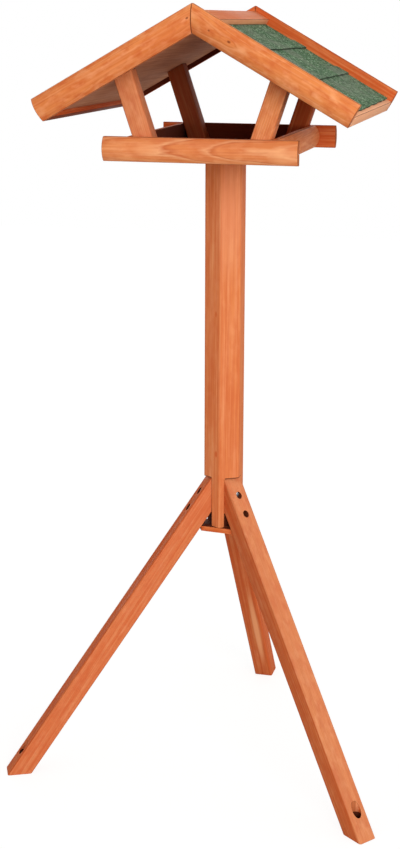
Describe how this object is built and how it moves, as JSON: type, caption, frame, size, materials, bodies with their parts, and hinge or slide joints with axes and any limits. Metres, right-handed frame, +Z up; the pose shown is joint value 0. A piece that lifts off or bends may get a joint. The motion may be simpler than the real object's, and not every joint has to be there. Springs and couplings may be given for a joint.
{
  "type": "bird table",
  "caption": "Wooden garden bird table: a felted gable roof on splayed posts over a rimmed feed tray, on a hexagonal column with splayed legs.",
  "frame": {"origin": "on the ground, in the middle of the space that the table takes up", "axes": "+Z up, the gables face -Y (front) and +Y (back), the eaves run along Y, +X to the right from the front"},
  "size_m": [0.6122, 0.5888, 1.1989],
  "materials": {
    "glazed_pine": "orange-brown wood glaze on planed pine",
    "roof_board": "thin board with a light brown stain",
    "mineral_felt": "bitumen felt with green mineral granules",
    "zinced_steel": "zinc-plated screws"
  },
  "bodies": {
    "root": {"column": "glazed_pine", "leg_left": "glazed_pine", "leg_right": "glazed_pine", "leg_back": "glazed_pine", "brace_plate": "glazed_pine", "leg_screw_left_lower": "zinced_steel", "leg_screw_left_upper": "zinced_steel", "leg_screw_right_lower": "zinced_steel", "leg_screw_right_upper": "zinced_steel", "leg_screw_back_lower": "zinced_steel", "leg_screw_back_upper": "zinced_steel", "brace_screw_1": "zinced_steel", "brace_screw_2": "zinced_steel", "brace_screw_3": "zinced_steel", "tray_rim_front": "glazed_pine", "tray_rim_back": "glazed_pine", "tray_rim_left": "glazed_pine", "tray_rim_right": "glazed_pine", "tray_floor": "roof_board", "floor_screw_1": "zinced_steel", "floor_screw_2": "zinced_steel", "floor_screw_3": "zinced_steel", "post_front_left": "glazed_pine", "post_front_right": "glazed_pine", "post_back_left": "glazed_pine", "post_back_right": "glazed_pine", "post_screw_front_left": "zinced_steel", "post_screw_front_right": "zinced_steel", "post_screw_back_left": "zinced_steel", "post_screw_back_right": "zinced_steel", "roof_panel_left": "roof_board", "roof_panel_right": "roof_board", "eave_fascia_left": "glazed_pine", "eave_fascia_right": "glazed_pine", "ridge_cap_left": "glazed_pine", "ridge_cap_right": "glazed_pine", "felt_left_upper": "mineral_felt", "felt_left_middle": "mineral_felt", "felt_left_lower": "mineral_felt", "felt_right_upper": "mineral_felt", "felt_right_middle": "mineral_felt", "felt_right_lower": "mineral_felt", "bargeboard_front_left": "glazed_pine", "bargeboard_front_right": "glazed_pine", "bargeboard_back_left": "glazed_pine", "bargeboard_back_right": "glazed_pine", "roof_screw_front_left": "zinced_steel", "roof_screw_front_right": "zinced_steel", "roof_screw_back_left": "zinced_steel", "roof_screw_back_right": "zinced_steel"}
  },
  "joints": []
}
